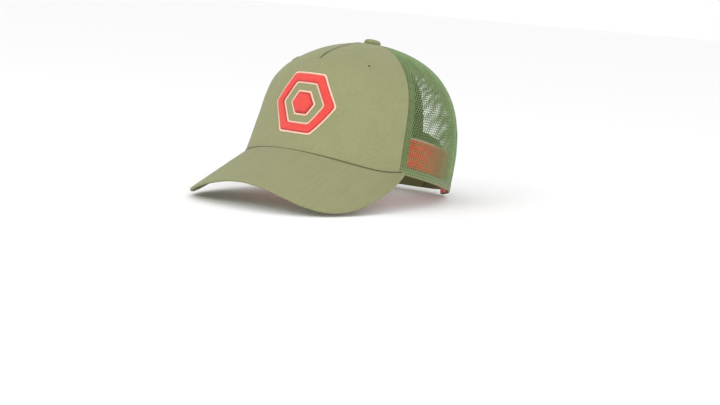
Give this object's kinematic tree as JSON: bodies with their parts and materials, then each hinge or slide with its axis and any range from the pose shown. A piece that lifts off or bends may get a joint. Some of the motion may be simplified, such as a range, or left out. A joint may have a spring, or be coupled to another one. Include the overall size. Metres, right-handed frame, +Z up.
{
  "type": "trucker cap",
  "caption": "Five-panel trucker cap: twill front panel, mesh sides and back, curved visor, rear arch with an adjustable snap strap.",
  "frame": {"origin": "centre of the bounding box's bottom face, on the surface that the cap stands on", "axes": "+Z up, the visor towards -Y, the wearer's left towards +X"},
  "size_m": [0.1652, 0.2622, 0.1337],
  "materials": {
    "twill": "matt cotton twill, khaki green",
    "twill_under": "matt cotton twill, khaki green, under the visor",
    "backing": "stiff open buckram",
    "eyelet_thread": "embroidery thread, khaki",
    "seam_tape": "woven tape, olive",
    "mesh": "knitted polyester mesh, green",
    "mesh_fold": "mesh folded double, darker green",
    "binding": "folded binding, green",
    "sweatband": "brushed cotton, red",
    "piping": "soft piping, pale",
    "visor_board": "moulded board",
    "button_shell": "pressed shell under the cloth",
    "rivet": "plated steel",
    "emblem_border": "embroidery thread, pale",
    "emblem_satin": "raised satin stitch, coral red",
    "strap": "moulded plastic, olive"
  },
  "bodies": {
    "cap": {"visor_top_cover": "twill", "visor_board": "visor_board", "visor_under_cover": "twill_under", "front_panel": "twill", "front_backing": "backing", "eyelet_left": "eyelet_thread", "eyelet_right": "eyelet_thread", "dart_tape": "seam_tape", "side_mesh_left": "mesh", "side_mesh_right": "mesh", "back_mesh_left": "mesh", "back_mesh_right": "mesh", "mesh_hem_left": "mesh_fold", "mesh_hem_right": "mesh_fold", "seam_allowance_front_left": "mesh_fold", "seam_allowance_front_right": "mesh_fold", "seam_allowance_rear_left": "mesh_fold", "seam_allowance_rear_right": "mesh_fold", "seam_allowance_back": "mesh_fold", "seam_tape_front_left": "seam_tape", "seam_tape_front_right": "seam_tape", "seam_tape_rear_left": "seam_tape", "seam_tape_rear_right": "seam_tape", "seam_tape_back": "seam_tape", "arch_binding": "binding", "sweatband": "sweatband", "sweatband_piping": "piping", "button_cover": "twill", "button_shell": "button_shell", "button_rivet": "rivet", "emblem_border_ring": "emblem_border", "emblem_border_core": "emblem_border", "emblem_satin_ring": "emblem_satin", "emblem_satin_core": "emblem_satin", "strap_tab_left": "strap", "strap_tab_right": "strap"},
    "hole_strap": {"strap_holes": "strap"},
    "stud_strap": {"strap_studs": "strap"}
  },
  "joints": [
    {"name": "hole_strap_flex", "type": "hinge", "parent": "cap", "child": "hole_strap", "pos_m": [0.0315, 0.11767, 0.01226], "axis": [0, -0.2265, -0.974], "range_deg": [0, 50], "stiffness_Nm_per_rad": 0.02},
    {"name": "stud_strap_flex", "type": "hinge", "parent": "cap", "child": "stud_strap", "pos_m": [-0.0315, 0.11631, 0.01258], "axis": [0, -0.2265, -0.974], "range_deg": [0, 20], "stiffness_Nm_per_rad": 0.02}
  ]
}
